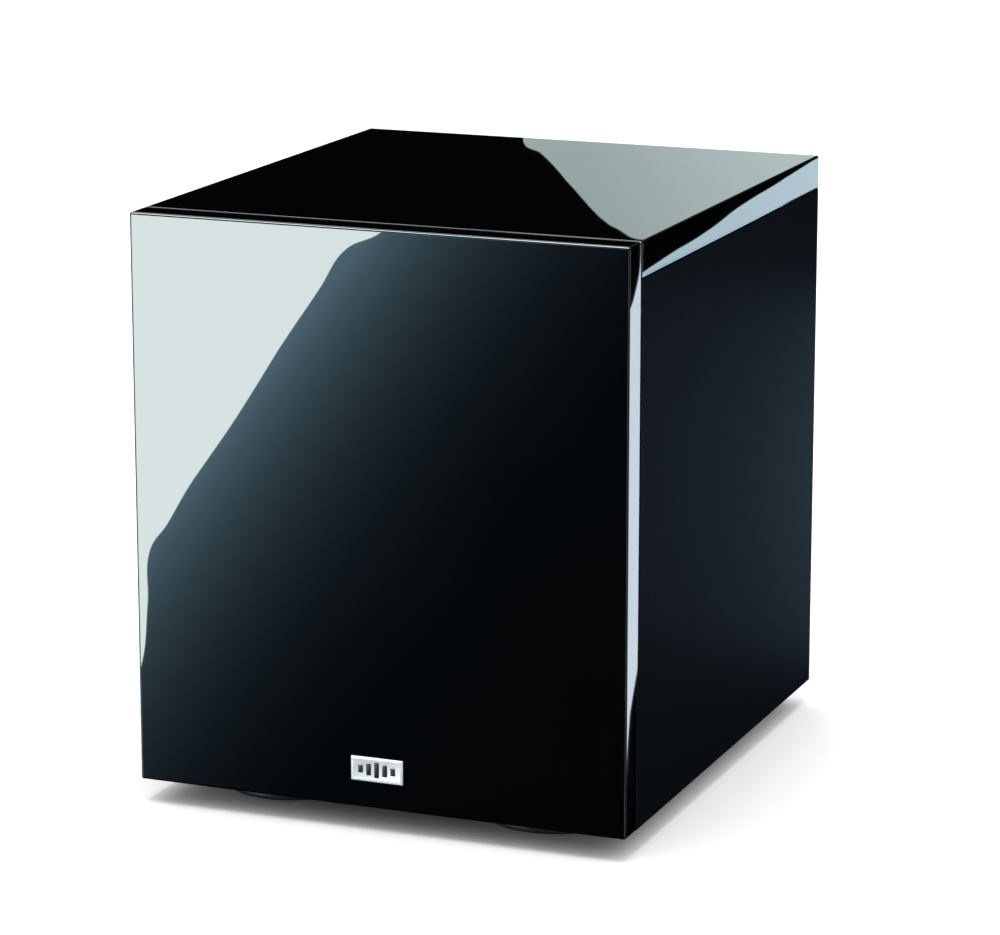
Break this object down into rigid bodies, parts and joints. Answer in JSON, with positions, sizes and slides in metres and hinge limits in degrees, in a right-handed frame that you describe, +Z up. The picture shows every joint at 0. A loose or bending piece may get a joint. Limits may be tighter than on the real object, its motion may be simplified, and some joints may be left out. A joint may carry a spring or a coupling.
{
  "type": "subwoofer",
  "caption": "Compact active subwoofer cube with a gloss front and top, textured sides, round feet, a down-firing driver and a rear plate amplifier with port.",
  "frame": {"origin": "on the floor under the centre of the overall box", "axes": "+X to the right seen from the front, +Y to the rear (the front faces -Y), +Z up"},
  "size_m": [0.35, 0.4126, 0.406],
  "materials": {
    "front_lacquer": "high-gloss black lacquer",
    "top_lacquer": "high-gloss black lacquer",
    "body_foil": "particle board wrapped in black fine-grained foil",
    "raw_board": "raw fibreboard",
    "beech": "plain beech",
    "wool": "bonded polyester wool",
    "badge_silver": "satin silver",
    "zinc": "zinc plated",
    "black_screw": "black oxide",
    "basket_steel": "black textured paint",
    "cork_seal": "closed-cell foam",
    "foam_seal": "closed-cell foam",
    "surround_rubber": "matte butyl rubber",
    "spider_cloth": "resin-stiffened cloth",
    "cone_paper": "coated black paper pulp",
    "cap_paper": "coated black paper pulp",
    "former_aluminium": "bare foil",
    "copper": "enamelled copper",
    "plated_steel": "zinc plated",
    "ferrite": "sintered ferrite",
    "port_plastic": "fine texture",
    "amp_paint": "black powder coat",
    "sink_aluminium": "black anodised",
    "circuit_board": "solder mask",
    "transformer_wrap": "polyester tape",
    "knob_plastic": "satin black",
    "tab_plastic": "satin white",
    "led_lens": "tinted lens",
    "gold_plate": "gold plated",
    "insulator_plastic": "one white, one red",
    "inlet_plastic": "moulded black",
    "rocker_plastic": "moulded black",
    "lever_red": "moulded red",
    "lever_black": "moulded black",
    "foot_plastic": "moulded dark grey",
    "pad_rubber": "soft rubber"
  },
  "bodies": {
    "cabinet": {"amp_gasket": "foam_seal", "amp_plate": "amp_paint", "amp_screws": "black_screw", "badge_plate": "badge_silver", "bottom_panel": "body_foil", "control_pots": "zinc", "damping_wool": "wool", "driver_basket": "basket_steel", "driver_gasket": "cork_seal", "driver_screws": "black_screw", "driver_spider": "spider_cloth", "driver_surround": "surround_rubber", "foot_front_left": "foot_plastic", "foot_front_right": "foot_plastic", "foot_rear_left": "foot_plastic", "foot_rear_right": "foot_plastic", "foot_screws": "zinc", "front_panel": "front_lacquer", "heat_sink": "sink_aluminium", "inlet_pins": "zinc", "magnet_ring": "ferrite", "main_board": "circuit_board", "mains_inlet": "inlet_plastic", "pad_front_left": "pad_rubber", "pad_front_right": "pad_rubber", "pad_rear_left": "pad_rubber", "pad_rear_right": "pad_rubber", "panel_dowels": "beech", "pole_yoke": "plated_steel", "port_flare": "port_plastic", "port_tube": "port_plastic", "rca_insulators": "insulator_plastic", "rca_jacks": "gold_plate", "rear_panel": "body_foil", "side_panel_left": "body_foil", "side_panel_right": "body_foil", "status_led": "led_lens", "switch_housings": "inlet_plastic", "terminal_block": "inlet_plastic", "tinsel_leads": "copper", "top_panel": "top_lacquer", "top_plate": "plated_steel", "transformer": "transformer_wrap", "window_brace": "raw_board"},
    "cone_assembly": {"driver_cone": "cone_paper", "dust_cap": "cap_paper", "coil_former": "former_aluminium", "voice_coil": "copper"},
    "volume_control": {"volume_knob": "knob_plastic", "volume_shaft": "zinc"},
    "crossover_control": {"crossover_knob": "knob_plastic", "crossover_shaft": "zinc"},
    "phase_tab": {"phase_switch": "tab_plastic"},
    "mode_tab": {"mode_switch": "tab_plastic"},
    "rocker": {"power_rocker": "rocker_plastic"},
    "drawer": {"fuse_drawer": "inlet_plastic"},
    "lever_1": {"terminal_lever_1": "lever_red"},
    "lever_2": {"terminal_lever_2": "lever_black"},
    "lever_3": {"terminal_lever_3": "lever_red"},
    "lever_4": {"terminal_lever_4": "lever_black"}
  },
  "joints": [
    {"name": "cone_stroke", "type": "slide", "parent": "cabinet", "child": "cone_assembly", "axis": [0, 0, 1], "range_m": [-0.008, 0.008], "stiffness_N_per_m": 2000, "deforming": ["driver_surround", "driver_spider", "tinsel_leads"]},
    {"name": "volume_turn", "type": "hinge", "parent": "cabinet", "child": "volume_control", "pos_m": [0.074, 0.1903, 0.15], "axis": [0, 1, 0], "range_deg": [-150, 150]},
    {"name": "crossover_turn", "type": "hinge", "parent": "cabinet", "child": "crossover_control", "pos_m": [0.03, 0.1903, 0.15], "axis": [0, 1, 0], "range_deg": [-150, 150]},
    {"name": "phase_slide", "type": "slide", "parent": "cabinet", "child": "phase_tab", "axis": [1, 0, 0], "range_m": [0, 0.004]},
    {"name": "mode_slide", "type": "slide", "parent": "cabinet", "child": "mode_tab", "axis": [1, 0, 0], "range_m": [0, 0.006]},
    {"name": "power_rock", "type": "hinge", "parent": "cabinet", "child": "rocker", "pos_m": [-0.074, 0.1873, 0.113], "axis": [-1, 0, 0], "range_deg": [0, 18]},
    {"name": "fuse_pull", "type": "slide", "parent": "cabinet", "child": "drawer", "axis": [0, 1, 0], "range_m": [0, 0.012]},
    {"name": "lever_1_press", "type": "hinge", "parent": "cabinet", "child": "lever_1", "pos_m": [0.029, 0.1965, 0.1092], "axis": [-1, 0, 0], "range_deg": [0, 20], "stiffness_Nm_per_rad": 0.2},
    {"name": "lever_2_press", "type": "hinge", "parent": "cabinet", "child": "lever_2", "pos_m": [0.015, 0.1965, 0.1092], "axis": [-1, 0, 0], "range_deg": [0, 20], "stiffness_Nm_per_rad": 0.2},
    {"name": "lever_3_press", "type": "hinge", "parent": "cabinet", "child": "lever_3", "pos_m": [0.001, 0.1965, 0.1092], "axis": [-1, 0, 0], "range_deg": [0, 20], "stiffness_Nm_per_rad": 0.2},
    {"name": "lever_4_press", "type": "hinge", "parent": "cabinet", "child": "lever_4", "pos_m": [-0.013, 0.1965, 0.1092], "axis": [-1, 0, 0], "range_deg": [0, 20], "stiffness_Nm_per_rad": 0.2}
  ]
}
